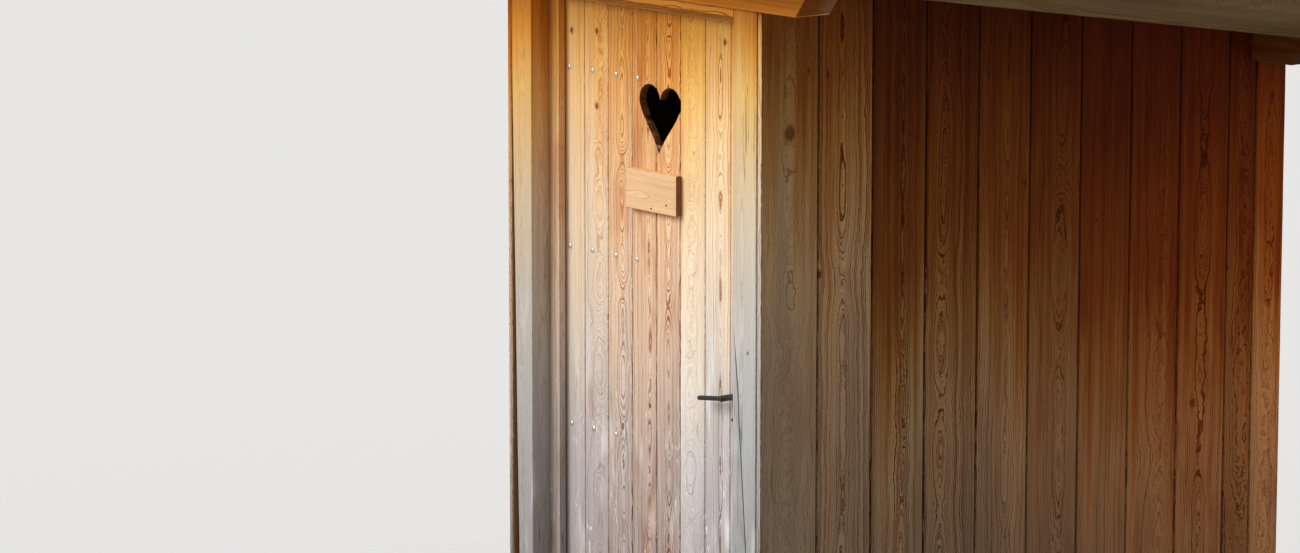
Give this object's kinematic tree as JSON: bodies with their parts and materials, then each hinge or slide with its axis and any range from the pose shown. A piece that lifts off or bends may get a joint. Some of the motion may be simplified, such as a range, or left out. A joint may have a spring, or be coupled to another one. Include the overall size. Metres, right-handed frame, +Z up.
{
  "type": "wooden outhouse",
  "caption": "Small board-clad timber outhouse with a mono-pitch roof on overhanging beams and a plank door with a heart cut-out, strap hinges and a lever handle.",
  "frame": {"origin": "centre of the building's footprint, at ground level, under the sills", "axes": "+Z up, +Y from the door into the building, +X to the right of someone who faces the door"},
  "size_m": [1.47, 2.38, 2.4005],
  "materials": {
    "cladding_wood": "weathered sawn boards, brown",
    "post_wood": "weathered planed timber, honey to silver grey",
    "door_wood": "weathered planed planks, honey to silver grey",
    "sign_wood": "planed board, bare",
    "framing": "sawn timber, little weathered",
    "floor_wood": "planed boards, worn",
    "roof_wood": "weathered boards, grey green",
    "dark_iron": "dark forged iron",
    "bolt_steel": "bright plated steel"
  },
  "bodies": {
    "cabin": {"sill_left": "framing", "sill_right": "framing", "sill_front": "framing", "sill_back": "framing", "floor": "floor_wood", "post_front_left": "post_wood", "post_front_right": "post_wood", "post_back_left": "framing", "post_back_right": "framing", "beam_front": "post_wood", "beam_back": "post_wood", "wall_left": "cladding_wood", "wall_right": "cladding_wood", "wall_back": "cladding_wood", "rail_left": "framing", "rail_right": "framing", "rail_back": "framing", "jamb_left": "door_wood", "jamb_right": "door_wood", "lintel": "door_wood", "threshold": "door_wood", "rafters": "framing", "eave_blocks": "framing", "roof_boards": "framing", "roof_cover": "roof_wood", "barge_board_left": "roof_wood", "barge_board_right": "roof_wood", "fascia_front": "roof_wood", "fascia_back": "roof_wood", "lock_keep": "dark_iron", "hinge_pin_top": "dark_iron", "hinge_pin_upper": "dark_iron", "hinge_pin_lower": "dark_iron", "hinge_pin_bottom": "dark_iron"},
    "door": {"door_planks": "door_wood", "door_ledges": "door_wood", "door_sign": "sign_wood", "lock_case": "dark_iron", "hinge_strap_top": "dark_iron", "hinge_strap_upper": "dark_iron", "hinge_strap_lower": "dark_iron", "hinge_strap_bottom": "dark_iron"},
    "handle": {"lever_outside": "dark_iron", "lever_inside": "dark_iron"}
  },
  "joints": [
    {"name": "door_swing", "type": "hinge", "parent": "cabin", "child": "door", "pos_m": [-0.3915, -0.801, 1], "axis": [0, 0, 1], "range_deg": [0, 90]},
    {"name": "handle_turn", "type": "hinge", "parent": "door", "child": "handle", "pos_m": [0.3018, -0.834, 1.079], "axis": [0, -1, 0], "range_deg": [0, 35], "stiffness_Nm_per_rad": 3, "springref_deg": -2.86}
  ]
}
